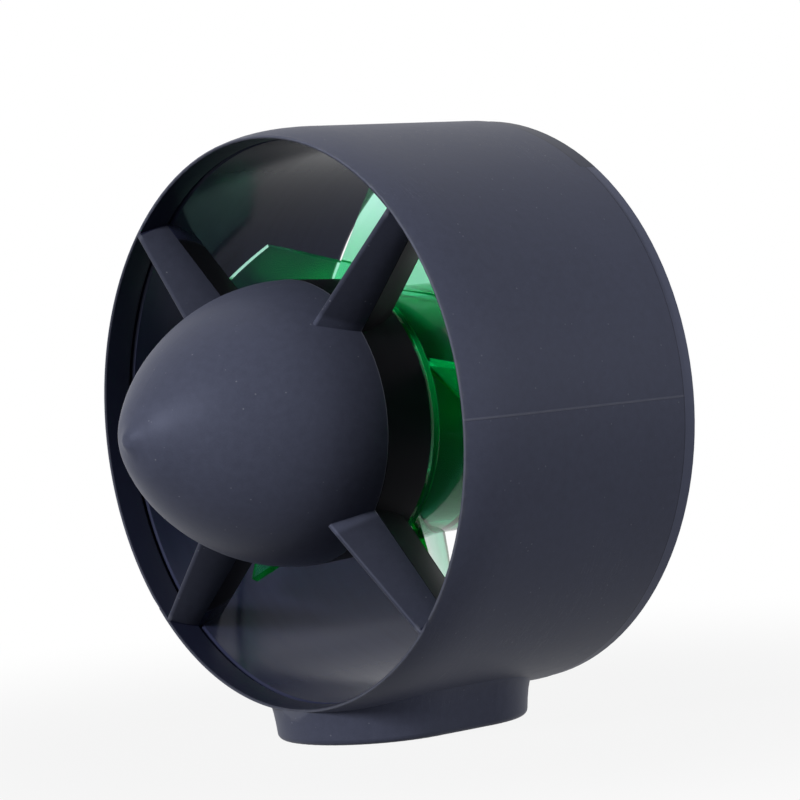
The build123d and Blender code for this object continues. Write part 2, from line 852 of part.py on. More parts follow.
with BuildPart() as rotor_magnets:
    with BuildSketch(across(magnet_rear)):
        Circle(magnet_outer)
        Circle(magnet_inner, mode=Mode.SUBTRACT)
        with PolarLocations((magnet_inner + magnet_outer) / 2, magnet_count):
            Rectangle(2 * magnet_thickness, magnet_gap, mode=Mode.SUBTRACT)
    extrude(amount=magnet_length)

rotor_magnets.part.label = "rotor_magnets"
export_step(rotor_magnets.part, "parts/rotor_magnets.step")


# One blade: a twisted, slightly cambered plate, wider than the blade, whose sections lie square
# to the blade's own radius. It is then trimmed to straight edges and to the turning circle.
# Section: radius, pitch angle, forward rake, thickness, camber.
blade_sections = [
    (27.0, 51.5, -2.9, 2.8, 1.2),
    (40.0, 49.0, -1.7, 2.3, 1.0),
    (50.0, 46.1, -0.6, 2.0, 0.9),
    (61.0, 42.2, 1.4, 1.8, 0.8),
    (75.0, 37.0, 4.1, 1.6, 0.6),
]
blade_root = blade_sections[0][0]
blade_station = prop_front - blade_middle


def blade_section(radius, pitch, rake, thickness, camber):
    front, back, end = rake + thickness / 2, rake - thickness / 2, blade_blank
    with BuildSketch(outward(blade_phase, radius, blade_station, lean=pitch)) as section:
        with BuildLine():
            ThreePointArc((end, front), (0, front + camber), (-end, front))
            Line((-end, front), (-end, back))
            ThreePointArc((-end, back), (0, back + camber), (end, back))
            Line((end, back), (end, front))
        make_face()
    return section.sketch


def blade_face():
    """The plane of one blade. Local x runs along its chord to the leading edge, local y outward."""
    across_chord = outward(blade_phase, 0, blade_station, lean=blade_lean)
    return Plane(origin=across_chord.origin, x_dir=across_chord.x_dir, z_dir=-across_chord.y_dir)


with BuildPart() as blade:
    loft([blade_section(*sizes) for sizes in blade_sections])
    with BuildSketch(blade_face()):
        with BuildLine():
            Polyline(
                (blade_lead_root, blade_root), (blade_lead_tip, blade_tip), (blade_lead_tip, bore_radius),
                (-blade_trail_tip, bore_radius), (-blade_trail_tip, blade_tip),
                (-blade_trail_corner, blade_corner_radius), (-blade_trail_root, blade_root), close=True,
            )
        make_face()
    extrude(amount=blade_blank, both=True, mode=Mode.INTERSECT)
    with BuildSketch(across(-duct_length)):
        Circle(blade_tip)
    extrude(amount=duct_length, mode=Mode.INTERSECT)


with BuildPart() as propeller:
    with BuildSketch(side):
        with BuildLine():
            Polyline(
                (prop_rear, 0), (prop_rear, prop_hub_radius),
                (prop_front - prop_lip - prop_lip_blend, prop_hub_radius),
            )
            RadiusArc(
                (prop_front - prop_lip - prop_lip_blend, prop_hub_radius),
                (prop_front - prop_lip, prop_lip_radius), -prop_lip_blend,
            )
            Polyline(
                (prop_front - prop_lip, prop_lip_radius), (prop_front - lip_round, prop_lip_radius),
                (prop_front, prop_lip_radius - lip_round), (prop_front, 0), (prop_rear, 0),
            )
        make_face()
    revolve(axis=thrust_axis)
    for number in range(blade_count):
        add(blade.part.rotate(thrust_axis, number * 360 / blade_count))
    with BuildSketch(side):
        with BuildLine():
            Polyline(
                (prop_front, 0), (prop_front, prop_bore), (plate_front, prop_bore), (plate_front, 0),
                close=True,
            )
        make_face()
        with BuildLine():
            Polyline(
                (plate_rear, 0), (plate_rear, prop_bore), (prop_rear, prop_bore), (prop_rear, 0),
                close=True,
            )
        make_face()
    revolve(axis=thrust_axis, mode=Mode.SUBTRACT)
    with BuildSketch(across(plate_rear)):
        Circle(can_boss + thread_gap)
        with Locations(*polar_points(prop_screw_circle, prop_screw_angles)):
            Circle(small_screw_radius + thread_gap)
    extrude(amount=prop_plate, mode=Mode.SUBTRACT)

propeller.part.label = "propeller"
export_step(propeller.part, "parts/propeller.step")

prop_screws = screws(
    small_screw_radius, prop_screw_circle, prop_screw_angles,
    plate_rear - screw_head_height, plate_rear, can_end_front,
)
prop_screws.part.label = "prop_screws"
export_step(prop_screws.part, "parts/prop_screws.step")

# Tail cap: closes the rear of the propeller hub, held by one screw in the end of the shaft
cap_front = prop_rear + cap_spigot
cap_rear = prop_rear - cap_length
cap_seat = shaft_rear - seam_gap

with BuildPart() as tail_cap:
    with BuildSketch(side):
        with BuildLine():
            EllipticalCenterArc(
                (prop_rear, 0), cap_length, prop_hub_radius - cap_inset, start_angle=90, arc_size=90
            )
            Polyline(
                (cap_rear, 0), (cap_front, 0), (cap_front, prop_bore - thread_gap),
                (prop_rear, prop_bore - thread_gap), (prop_rear, prop_hub_radius - cap_inset),
            )
        make_face()
    revolve(axis=thrust_axis)
    with BuildSketch(side):
        with BuildLine():
            EllipticalCenterArc(
                (prop_rear, 0), cap_length - cap_wall, prop_bore - cap_wall, start_angle=90, arc_size=90
            )
            Polyline(
                (cap_rear + cap_wall, 0), (cap_front, 0), (cap_front, prop_bore - cap_wall),
                (prop_rear, prop_bore - cap_wall),
            )
        make_face()
    revolve(axis=thrust_axis, mode=Mode.SUBTRACT)
    with BuildSketch(across(cap_rear + cap_wall / 2)):
        Circle(cap_boss)
    extrude(amount=cap_seat - cap_rear - cap_wall / 2)
    with BuildSketch(across(cap_rear)):
        Circle(cap_screw_head + thread_gap)
    extrude(amount=screw_head_height, mode=Mode.SUBTRACT)
    with BuildSketch(across(cap_rear)):
        Circle(small_screw_radius + thread_gap)
    extrude(amount=cap_seat - cap_rear, mode=Mode.SUBTRACT)

tail_cap.part.label = "tail_cap"
export_step(tail_cap.part, "parts/tail_cap.step")

with BuildPart() as tail_cap_screw:
    with BuildSketch(across(cap_rear + seam_gap)):
        Circle(cap_screw_head)
    extrude(amount=screw_head_height - seam_gap)
    with BuildSketch(across(cap_rear + screw_head_height)):
        Circle(small_screw_radius)
    extrude(amount=shaft_rear + cap_screw_grip - cap_rear - screw_head_height)
    with BuildSketch(across(cap_rear + seam_gap)):
        RegularPolygon(small_screw_radius * screw_socket_ratio, 6)
    extrude(amount=screw_head_height / 2, mode=Mode.SUBTRACT)

tail_cap_screw.part.label = "tail_cap_screw"
export_step(tail_cap_screw.part, "parts/tail_cap_screw.step")

# Driver board in the nose: spacers on the bulkhead, round board, power parts
with BuildPart() as board_spacers:
    with BuildSketch(across(pod_front)):
        with Locations(*polar_points(board_bolt_circle, spacer_angles)):
            Circle(spacer_radius)
            Circle(small_screw_radius + slip_gap, mode=Mode.SUBTRACT)
    extrude(amount=board_standoff)

board_spacers.part.label = "board_spacers"
export_step(board_spacers.part, "parts/board_spacers.step")

with BuildPart() as driver_board:
    with BuildSketch(across(board_rear)):
        Circle(board_radius)
        with Locations(*polar_points(board_bolt_circle, spacer_angles)):
            Circle(small_screw_radius + thread_gap, mode=Mode.SUBTRACT)
        with Locations(*polar_points(mount_screw_circle, lead_angles)):
            Circle(lead_radius + thread_gap, mode=Mode.SUBTRACT)
    extrude(amount=board_thickness)

driver_board.part.label = "driver_board"
export_step(driver_board.part, "parts/driver_board.step")

with BuildPart() as board_transistors:
    with BuildSketch(across(board_rear)):
        with PolarLocations(transistor_circle, transistor_count, start_angle=transistor_start):
            Rectangle(transistor_size, transistor_size)
    extrude(amount=-transistor_height)

board_transistors.part.label = "board_transistors"
export_step(board_transistors.part, "parts/board_transistors.step")

with BuildPart() as board_capacitors:
    with BuildSketch(across(board_front)):
        with PolarLocations(capacitor_circle, capacitor_count, start_angle=capacitor_start):
            Circle(capacitor_radius)
    extrude(amount=capacitor_length)
    fillet(board_capacitors.faces().sort_by(Axis.X)[-capacitor_count:].edges(), capacitor_edge)

board_capacitors.part.label = "board_capacitors"
export_step(board_capacitors.part, "parts/board_capacitors.step")

board_screws = screws(
    small_screw_radius, board_bolt_circle, spacer_angles,
    board_front, board_front + screw_head_height, pod_front - board_thread,
)
board_screws.part.label = "board_screws"
export_step(board_screws.part, "parts/board_screws.step")
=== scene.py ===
import json
import math

import bmesh
import bpy
from bpy.props import FloatProperty, FloatVectorProperty, PointerProperty
from mathutils import Matrix, Vector


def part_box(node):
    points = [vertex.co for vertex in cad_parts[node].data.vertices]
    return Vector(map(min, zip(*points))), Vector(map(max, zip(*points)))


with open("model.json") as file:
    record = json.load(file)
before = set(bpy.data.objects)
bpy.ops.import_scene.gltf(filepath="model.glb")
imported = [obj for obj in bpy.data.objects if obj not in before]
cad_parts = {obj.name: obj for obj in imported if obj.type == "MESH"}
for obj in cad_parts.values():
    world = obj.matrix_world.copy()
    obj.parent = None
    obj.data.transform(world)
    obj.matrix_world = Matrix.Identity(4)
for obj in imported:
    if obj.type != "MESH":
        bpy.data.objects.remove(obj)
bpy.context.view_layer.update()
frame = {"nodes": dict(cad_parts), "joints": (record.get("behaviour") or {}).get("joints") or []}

bl_info = {
    "name": "Ducted Thruster",
    "version": (1, 0, 0),
    "blender": (4, 5, 0),
    "location": "3D View > Sidebar > Thruster",
    "description": "Dresses the packed thruster with its finishes and sets the stage",
    "category": "Add Mesh",
}

MM = 0.001
NODES = frame["nodes"]

# Places in the row frame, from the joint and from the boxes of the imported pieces
SPIN = Vector(frame["joints"][0]["pos_m"])
RIM = SPIN.x
AXIS_HEIGHT = SPIN.z
DUCT_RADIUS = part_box("duct_shell")[1].z - AXIS_HEIGHT
DUCT_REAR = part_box("duct_liner")[0].x
SEAM_GAP = 0.2 * MM
NOSE_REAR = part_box("duct_liner")[1].x + SEAM_GAP
PROPELLER_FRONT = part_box("propeller")[1].x
CAPACITOR_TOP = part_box("board_capacitors")[1].x

# The liner's rear band, which comes forward in a tab over the top of the duct
BAND_WIDTH = 4.0 * MM
TAB_REACH = 1.6 * MM
TAB_MIDDLE = math.radians(90)

# The photograph's camera: its turns about the front rim's centre, then metres from there
CAMERA_AZIMUTH = math.radians(49.61)
CAMERA_ELEVATION = math.radians(2.011)
CAMERA_ROLL = math.radians(-4.307)
CAMERA_DISTANCE = 0.8619
CAMERA_RIGHT = 0.03445
CAMERA_UP = 0.00681
NEAREST = 0.05
FARTHEST = 20.0

# Its lens and sensor, in millimetres
CAMERA_LENS = 144.0
SENSOR_WIDTH = 36.0

# Each lamp's direction along the camera's right, up and back, its watts, and its side as a share of
# the lamp size
LAMPS = {
    "key_lamp": ((-0.85, 0.42, 0.92), 13.6, 0.4),
    "side_lamp": ((1.0, 0.18, 0.45), 5.5, 1.0),
    "top_lamp": ((0.0, 1.0, -0.5), 1.1, 1.0),
}

WHITE = (1, 1, 1, 1)
SOFT_BLUE = (0.93, 0.95, 1.0, 1)
SKY_LEVEL = 0.09
FLOOR_DROP = 0.1 * MM
FLOOR_SEGMENTS = 96

# The floor keeps a shadow near the foot and turns as white as the backdrop between these distances
FLOOR_FADE = (0.08, 0.32)
NEAR_WHITE, FAR_WHITE = 0.90, 1.0


class Wire:
    """A value that flows through a node tree. Sums and products with it add Math nodes."""

    def __init__(self, nodes, socket):
        self.nodes = nodes
        self.socket = socket

    def __add__(self, other):
        return self.nodes.math("ADD", self, other)

    def __sub__(self, other):
        return self.nodes.math("SUBTRACT", self, other)

    def __rsub__(self, other):
        return self.nodes.math("SUBTRACT", other, self)

    def __mul__(self, other):
        return self.nodes.math("MULTIPLY", self, other)

    def __truediv__(self, other):
        return self.nodes.math("DIVIDE", self, other)

    def __pow__(self, other):
        return self.nodes.math("POWER", self, other)

    def __abs__(self):
        return self.nodes.math("ABSOLUTE", self)

    __radd__ = __add__
    __rmul__ = __mul__


class Nodes:
    """A node tree while it is put together."""

    def __init__(self, tree, result):
        tree.nodes.clear()
        self.tree = tree
        self.result = tree.nodes.new(result)

    def node(self, kind, settings=None, values=None, output=0):
        """Adds a node. Its settings come first, then what goes into its sockets."""
        made = self.tree.nodes.new(kind)
        for name, setting in (settings or {}).items():
            setattr(made, name, setting)
        for name, value in (values or {}).items():
            if isinstance(value, Wire):
                self.tree.links.new(value.socket, made.inputs[name])
            else:
                made.inputs[name].default_value = value
        return Wire(self, made.outputs[output])

    def math(self, operation, *values):
        return self.node("ShaderNodeMath", {"operation": operation}, dict(enumerate(values)))

    def blend(self, share, first, second):
        """Two shaders mixed, with share as the second one's part."""
        return self.node("ShaderNodeMixShader", values={0: share, 1: first, 2: second})

    def backdrop_share(self):
        """1 for camera, glossy and transmission rays, which see the plain white surroundings."""
        share = self.node("ShaderNodeLightPath", output="Is Camera Ray")
        for ray in ("Is Glossy Ray", "Is Transmission Ray"):
            share = self.math("MAXIMUM", share, self.node("ShaderNodeLightPath", output=ray))
        return share

    def output(self, shader, socket="Surface"):
        self.tree.links.new(shader.socket, self.result.inputs[socket])


class Finish(Nodes):
    """A material while its nodes are put together."""

    def __init__(self, name):
        self.material = bpy.data.materials.new(name)
        self.material.use_nodes = True
        super().__init__(self.material.node_tree, "ShaderNodeOutputMaterial")
        self.place = self.node("ShaderNodeTexCoord", output="Object")
        split = self.node("ShaderNodeSeparateXYZ", values={"Vector": self.place}).socket.node
        self.x, self.y, self.z = (Wire(self, split.outputs[axis]) for axis in "XYZ")

    def radius(self):
        """Distance from the thrust axis."""
        return self.math("SQRT", self.y ** 2 + (self.z - AXIS_HEIGHT) ** 2)

    def turn(self):
        """Angle about the thrust axis, in radians, from +Y towards the top."""
        return self.math("ARCTAN2", self.z - AXIS_HEIGHT, self.y)

    def stretched(self, x, y, z):
        """The place, scaled by its own number on each axis."""
        return self.node("ShaderNodeMapping", values={"Vector": self.place, "Scale": (x, y, z)})

    def joined(self, x, y, z=0.0):
        """Three numbers as a place."""
        return self.node("ShaderNodeCombineXYZ", values={"X": x, "Y": y, "Z": z})

    def noise(self, scale, detail=2.0, vector=None):
        values = {"Vector": vector or self.place, "Scale": scale, "Detail": detail}
        return self.node("ShaderNodeTexNoise", values=values)

    def cells(self, scale, feature="F1"):
        values = {"Vector": self.place, "Scale": scale}
        return self.node("ShaderNodeTexVoronoi", {"feature": feature}, values, "Distance")

    def rise(self, value, edge, start=0.0, end=1.0):
        """A smooth step from start to end while value crosses edge, a pair of a low and a high end."""
        low, high = edge
        values = {"Value": value, "From Min": low, "From Max": high, "To Min": start, "To Max": end}
        return self.node("ShaderNodeMapRange", {"interpolation_type": "SMOOTHSTEP"}, values)

    def fall(self, value, edge):
        """1 below the edge, 0 above it."""
        return self.rise(value, edge, 1.0, 0.0)

    def mix(self, factor, first, second):
        """Two colours mixed. The Mix node's colour sockets share their names, so they go by number."""
        ends = [colour if isinstance(colour, Wire) else (*colour, 1) for colour in (first, second)]
        values = {0: factor, 6: ends[0], 7: ends[1]}
        return self.node("ShaderNodeMix", {"data_type": "RGBA"}, values, output=2)

    def shade(self, colour, factor):
        """A colour made darker or brighter by a number."""
        return self.node("ShaderNodeVectorMath", {"operation": "SCALE"}, {0: colour, "Scale": factor})

    def bump(self, height, distance, strength=1.0, normal=None):
        values = {"Height": height, "Distance": distance, "Strength": strength}
        if normal:
            values["Normal"] = normal
        return self.node("ShaderNodeBump", values=values)

    def principled(self, **sockets):
        """A shader. The arguments are socket names with _ for a space."""
        values = {name.replace("_", " "): value for name, value in sockets.items()}
        return self.node("ShaderNodeBsdfPrincipled", values=values)

    def surface(self, **sockets):
        """The material with one shader as its surface."""
        self.output(self.principled(**sockets))
        return self.material


def colour_property(name, description, default):
    return FloatVectorProperty(
        name=name, description=description, default=default, size=3, min=0, max=1, subtype="COLOR"
    )


def length_property(name, description, default):
    return FloatProperty(name=name, description=description, default=default, min=0, unit="LENGTH")


class ThrusterSizes(bpy.types.PropertyGroup):
    """Sizes of the stage."""

    floor_radius: length_property("Floor radius", "Radius of the floor", 3.0)
    lamp_size: length_property("Lamp size", "Side of the side lamp and the top lamp", 0.7)
    lamp_distance: length_property("Lamp distance", "From the front rim's centre to each lamp", 1.1)


class ThrusterColours(bpy.types.PropertyGroup):
    """Base colours of the finishes."""

    shell: colour_property("Shell", "Textured outer moulding", (0.050, 0.055, 0.084))
    liner: colour_property("Liner", "Polished wall inside the duct", (0.021, 0.024, 0.052))
    pod: colour_property("Pod", "Polished black of the pod and rear struts", (0.003, 0.003, 0.004))
    blade: colour_property("Blade", "Body colour of the propeller", (0.0, 0.72, 0.14))
    blade_clear: colour_property("Blade light", "Light through the propeller", (0.02, 0.90, 0.66))
    brass: colour_property("Brass", "Turned brass", (0.72, 0.53, 0.25))
    nylon: colour_property("Nylon", "Gland screw", (0.020, 0.020, 0.022))
    rubber: colour_property("Rubber", "Seals", (0.014, 0.014, 0.015))
    aluminium: colour_property("Aluminium", "Clear anodised mount", (0.62, 0.63, 0.66))
    steel: colour_property("Steel", "Stainless screws and shaft", (0.60, 0.59, 0.57))
    lamination: colour_property("Lamination", "Coated stator sheets", (0.30, 0.31, 0.35))
    resin: colour_property("Resin", "Glass-filled insulators", (0.55, 0.50, 0.38))
    copper: colour_property("Copper", "Enamelled wire", (0.72, 0.31, 0.14))
    race: colour_property("Race", "Ground bearing steel", (0.66, 0.66, 0.67))
    can: colour_property("Can", "Black coated steel", (0.028, 0.028, 0.031))
    nickel: colour_property("Nickel", "Magnet plating", (0.60, 0.60, 0.57))
    mask: colour_property("Solder mask", "Driver board", (0.012, 0.13, 0.05))
    epoxy: colour_property("Epoxy", "Transistor bodies", (0.017, 0.017, 0.019))
    sleeve: colour_property("Sleeve", "Capacitor sleeves", (0.020, 0.022, 0.045))
    floor: colour_property("Floor", "Pale floor under the thruster", (0.14, 0.14, 0.15))


def sizes():
    """The panel's sizes."""
    return bpy.context.scene.thruster_sizes


def colour_of(name):
    """One of the panel's colours."""
    return tuple(getattr(bpy.context.scene.thruster_colours, name))


# Marks that the finishes share

# Scales of the moulded texture on the shell and on the outside of the rear band
MOTTLE = 460
GRAIN = 2600

# The black mouldings shine a little blue
GLOSS_TINT = (0.66, 0.72, 1.0, 1)

# Half the turn that the rear band's tab takes up, with its soft end
TAB_END = (math.radians(37.4), math.radians(37.6))


def specks(f, scale, size, share):
    """A mask of small dots, kept only where a slow noise is high."""
    dots = f.fall(f.cells(scale), (0.6 * size, size))
    return dots * f.rise(f.noise(0.4 * scale, detail=1), (1 - share, 1 - share + 0.08))


def tab_mask(f):
    """1 over the arc at the top of the duct where the rear band comes forward in a tab."""
    return f.fall(abs(f.turn() - TAB_MIDDLE), TAB_END)


# Outer moulding

# Soft edges in distance from the thrust axis
NOSE_EDGE_START = (30.0 * MM, 32.0 * MM)
NOSE_EDGE_END = (40.0 * MM, 41.0 * MM)
STRUT_ROOT = (40.0 * MM, 42.0 * MM)
STRUT_TIP = (76.4 * MM, 77.2 * MM)
LIP_START = (74.0 * MM, 76.0 * MM)
BORE_START = (DUCT_RADIUS - 3.9 * MM, DUCT_RADIUS - 3.6 * MM)
SKIN_START = (DUCT_RADIUS - 2.7 * MM, DUCT_RADIUS - 2.3 * MM)
RIM_END = (DUCT_RADIUS + 0.2 * MM, DUCT_RADIUS + 0.5 * MM)

# Soft edges along the thrust axis
LIP_FRONT = (RIM - 0.55 * MM, RIM - 0.25 * MM)
RIM_FRONT = (RIM - 1.4 * MM, RIM - 0.2 * MM)
NOSE_EDGE_FRONT = (NOSE_REAR + 0.15 * MM, NOSE_REAR + 0.40 * MM)

# Soft edges of the parting line, from its middle, and of the seam's painted shade, from the rear band's
# front
PARTING_LINE = (0.16 * MM, 0.42 * MM)
BAND_SEAM = (0.25 * MM, 0.65 * MM)

# Soft edge of a scratch, in the noise that draws it
HAIR_WIDTH = (0.002, 0.010)

SPECK_GREY = (0.19, 0.20, 0.23)
PARTING_GREY = (0.15, 0.155, 0.19)
# Grey of the painted highlights on the front lip and along the nose's rear edge
HIGHLIGHT_GREY = (0.20, 0.21, 0.25)
# Grey of the rim's wear and its painted highlight
WEAR_AND_HIGHLIGHT_GREY = (0.10, 0.105, 0.125)
# Black of the painted shade in the seam ahead of the rear band
SEAM_SHADE_BLACK = (0.012, 0.012, 0.018)


def shell_finish():
    """Matt bluish black moulding with mottling, specks, fine scratches and a pale parting line."""
    f = Finish("shell_black")
    radius = f.radius()
    cloud = f.noise(16, detail=3)
    mottle = f.noise(MOTTLE)
    fine = f.noise(GRAIN)
    painted_strut_shade = f.rise(radius, STRUT_ROOT) * f.fall(radius, STRUT_TIP)
    skin = f.rise(radius, SKIN_START)

    tone = 0.64 + 0.32 * cloud + 0.26 * mottle + 0.20 * fine
    # The struts are painted 42 % darker than the skin, which is painted shade inside the duct.
    base = f.shade(colour_of("shell"), tone * (1 - 0.42 * painted_strut_shade))

    dots = specks(f, scale=420, size=0.12, share=0.46)
    hair = f.noise(1, detail=1, vector=f.stretched(900, 60, 140))
    scratch = f.fall(abs(hair - 0.5), HAIR_WIDTH) * f.rise(f.noise(26, detail=1), (0.60, 0.68)) * skin
    base = f.mix(0.42 * dots + 0.14 * scratch, base, SPECK_GREY)

    # The bore inside the front ring is glossier and takes a darker copy of the liner's colour, which is
    # painted shade.
    bore = f.rise(radius, BORE_START) * f.fall(radius, SKIN_START)
    base = f.mix(bore, base, f.shade(colour_of("liner"), 0.35 + 0.3 * cloud))

    line = f.fall(abs(f.z - AXIS_HEIGHT), PARTING_LINE) * skin * (0.45 + 0.8 * f.noise(240))
    base = f.mix(0.40 * line, base, PARTING_GREY)

    # Painted highlights: a pale line round the front lip and along the nose's rear edge.
    lip_highlight = f.rise(f.x, LIP_FRONT) * f.rise(radius, LIP_START)
    nose = f.rise(radius, NOSE_EDGE_START) * f.fall(radius, NOSE_EDGE_END)
    nose_edge_highlight = f.fall(f.x, NOSE_EDGE_FRONT) * nose
    base = f.mix(0.18 * lip_highlight + 0.5 * nose_edge_highlight, base, HIGHLIGHT_GREY)

    # Paler patches along the front rim: partly wear, partly a painted highlight on the rim's edge.
    rim = f.rise(f.x, RIM_FRONT) * skin * f.fall(radius, RIM_END)
    wear_and_highlight = 0.40 * rim * f.rise(f.noise(320, detail=3), (0.35, 0.7))
    base = f.mix(wear_and_highlight, base, WEAR_AND_HIGHLIGHT_GREY)

    # A dark line on the skin just ahead of the rear band, which is painted shade of the gap at the
    # seam.
    band_front = DUCT_REAR + BAND_WIDTH + TAB_REACH * tab_mask(f)
    band_seam_shade = f.fall(f.x - band_front, BAND_SEAM) * skin
    base = f.mix(0.7 * band_seam_shade, base, SEAM_SHADE_BLACK)

    normal = f.bump(mottle, 0.05 * MM, 0.5)
    normal = f.bump(fine, 0.025 * MM, 0.7, normal)
    normal = f.bump(1 - scratch, 0.02 * MM, 0.6, normal)
    normal = f.bump(line, 0.09 * MM, 0.8, normal)
    return f.surface(
        Base_Color=base, Roughness=0.40 + 0.10 * mottle + 0.06 * cloud - 0.08 * wear_and_highlight - 0.12 * bore,
        Normal=normal, Specular_IOR_Level=0.12, Specular_Tint=GLOSS_TINT,
    )


# Liner, pod and rear band

# Soft edges in distance from the thrust axis
WALL_START = (69.5 * MM, 71.5 * MM)
BAND_START = (DUCT_RADIUS - 1.2 * MM, DUCT_RADIUS - 0.8 * MM)

# Scales of the drawn lines in the polish: along the axis, round it and across it
DRAWN_ALONG, DRAWN_ROUND, DRAWN_ACROSS = 420, 1.6, 60

DUST_GREY = (0.15, 0.15, 0.17)


def liner_finish():
    """Polished black moulding inside, with the shell's matt texture on the outside of its rear band."""
    f = Finish("liner_black")
    radius = f.radius()
    cloud = f.noise(24, detail=3)
    mottle = f.noise(MOTTLE)
    fine = f.noise(GRAIN)
    unrolled = f.joined(f.x * DRAWN_ALONG, f.turn() * DRAWN_ROUND, radius * DRAWN_ACROSS)
    drawn = f.noise(1, detail=3, vector=unrolled)
    wall = f.rise(radius, WALL_START)
    band = f.rise(radius, BAND_START)
    dust = 0.25 * specks(f, scale=210, size=0.05, share=0.45)

    # The wall inside the duct is painted a brighter blue than the pod and rear struts of the same
    # moulding, which is painted sheen.
    gloss = f.mix(wall, f.shade(colour_of("pod"), 0.8 + 0.4 * cloud), colour_of("liner"))
    gloss = f.shade(gloss, 0.70 + 0.3 * cloud + 0.28 * drawn)
    # Outside the rear band the colour is painted paler than the shell as a painted highlight, and
    # darker over the tab at the top as painted shade.
    matt = f.shade(colour_of("shell"), 1.40 + 0.16 * cloud + 0.20 * mottle - 0.95 * tab_mask(f))

    gloss_rough = 0.50 + wall * (0.06 * cloud + 0.16 * drawn - 0.42)
    matt_rough = 0.40 + 0.08 * mottle
    normal = f.bump(drawn, 0.03 * MM, 0.8)
    normal = f.bump(fine, 0.022 * MM, 0.7 * band, normal)
    return f.surface(
        Base_Color=f.mix(dust, f.mix(band, gloss, matt), DUST_GREY),
        Roughness=gloss_rough + band * (matt_rough - gloss_rough) + 0.2 * dust,
        Normal=normal, Specular_IOR_Level=0.13, Specular_Tint=GLOSS_TINT,
    )


# Propeller

# Soft edges along the thrust axis and in distance from it
HUB_LIP_FRONT = (PROPELLER_FRONT - 3.6 * MM, PROPELLER_FRONT - 2.4 * MM)
HUB_LIP_START = (34.5 * MM, 35.5 * MM)
HUB_LIP_END = (38.2 * MM, 39.0 * MM)
BLADE_SPAN = (42.0 * MM, 62.0 * MM)

# Share of pigmented plastic at the blade's root and towards its tip
ROOT_BODY, TIP_BODY = 0.26, 0.05

CLEAR = (0.97, 1.0, 0.99, 1)
CLEAR_IOR = 1.36
BLADE_DENSITY = 350.0


def blade_finish():
    """Clear green plastic: pale where light comes straight through, deep where it is thick."""
    f = Finish("blade_green")
    radius = f.radius()
    flow = f.noise(38, detail=3)
    haze = f.noise(700)
    normal = f.bump(flow, 0.05 * MM, 0.35)
    clear = f.principled(
        Base_Color=CLEAR, Roughness=0.02 + 0.04 * haze, IOR=CLEAR_IOR, Specular_IOR_Level=0.06,
        Transmission_Weight=1.0, Normal=normal,
    )
    body = f.principled(
        Base_Color=f.shade(colour_of("blade"), 0.8 + 0.4 * flow), Roughness=0.12 + 0.08 * haze,
        Specular_IOR_Level=0.2, Normal=normal,
    )
    # More pigmented body at the hub's front lip, a painted highlight for the lip's lit green edge.
    lip_highlight = f.rise(f.x, HUB_LIP_FRONT) * f.rise(radius, HUB_LIP_START) * f.fall(radius, HUB_LIP_END)
    f.output(f.blend(f.rise(radius, BLADE_SPAN, ROOT_BODY, TIP_BODY) + 0.24 * lip_highlight, clear, body))
    through = {"Color": (*colour_of("blade_clear"), 1), "Density": BLADE_DENSITY}
    f.output(f.node("ShaderNodeVolumeAbsorption", values=through), "Volume")
    return f.material


# Motor, board and small parts

SHEET = 0.5 * MM

# Soft edges of lines and dots, as shares of a sheet or of a cell
SHEET_EDGE = (0.02, 0.16)
TRACK_EDGE = (0.05, 0.09)
PAD_EDGE = (0.10, 0.13)

# Where a capacitor's sleeve ends, along the thrust axis
SLEEVE_END = (CAPACITOR_TOP - 0.25 * MM, CAPACITOR_TOP - 0.15 * MM)

SHEET_BLACK = (0.02, 0.02, 0.025)
WIRE_BROWN = (0.50, 0.16, 0.06)
TRACK_GREEN = (0.03, 0.24, 0.09)
PAD_TIN = (0.62, 0.60, 0.56)
BARE_METAL = (0.66, 0.66, 0.68)
PALE_SPECK = (0.2, 0.2, 0.21)


def turned_metal(name, colour, pitch, rough):
    """Metal with the fine rings of a lathe tool and a little tarnish."""
    f = Finish(name)
    rings = f.noise(1, vector=f.joined(f.x / pitch, f.radius() / pitch))
    stain = f.noise(170, detail=3)
    return f.surface(
        Base_Color=f.shade(colour_of(colour), 0.82 + 0.22 * stain + 0.10 * rings), Metallic=1.0,
        Roughness=rough + 0.12 * stain + 0.08 * rings, Normal=f.bump(rings, 0.01 * MM, 0.5),
    )


def plated_metal(name, colour, scale, rough):
    """Rolled or plated metal with a fine grain and faint stains."""
    f = Finish(name)
    stain = f.noise(120, detail=3)
    fine = f.noise(scale)
    return f.surface(
        Base_Color=f.shade(colour_of(colour), 0.80 + 0.24 * stain + 0.12 * fine), Metallic=1.0,
        Roughness=rough + 0.14 * stain, Normal=f.bump(fine, 0.012 * MM, 0.5),
    )


def moulded(name, colour, rough, depth=0.02 * MM, gloss=0.5):
    """Plain moulding or coat with a fine grain, uneven gloss and a few specks."""
    f = Finish(name)
    cloud = f.noise(60, detail=3)
    fine = f.noise(2200)
    dots = specks(f, scale=260, size=0.05, share=0.42)
    plain = f.shade(colour_of(colour), 0.8 + 0.3 * cloud + 0.1 * fine)
    return f.surface(
        Base_Color=f.mix(0.3 * dots, plain, PALE_SPECK), Roughness=rough + 0.14 * cloud,
        Normal=f.bump(fine, depth), Specular_IOR_Level=gloss,
    )


def lamination_finish():
    """Stack of coated sheets half a millimetre thick, seen as lines along the axis."""
    f = Finish("lamination")
    edge = f.fall(f.math("PINGPONG", f.x / SHEET, 0.5), SHEET_EDGE)
    stain = f.noise(200, detail=3)
    return f.surface(
        Base_Color=f.mix(0.7 * edge, f.shade(colour_of("lamination"), 0.8 + 0.4 * stain), SHEET_BLACK),
        Metallic=0.85, Roughness=0.38 + 0.2 * stain, Normal=f.bump(1 - edge, 0.05 * MM, 0.8),
    )


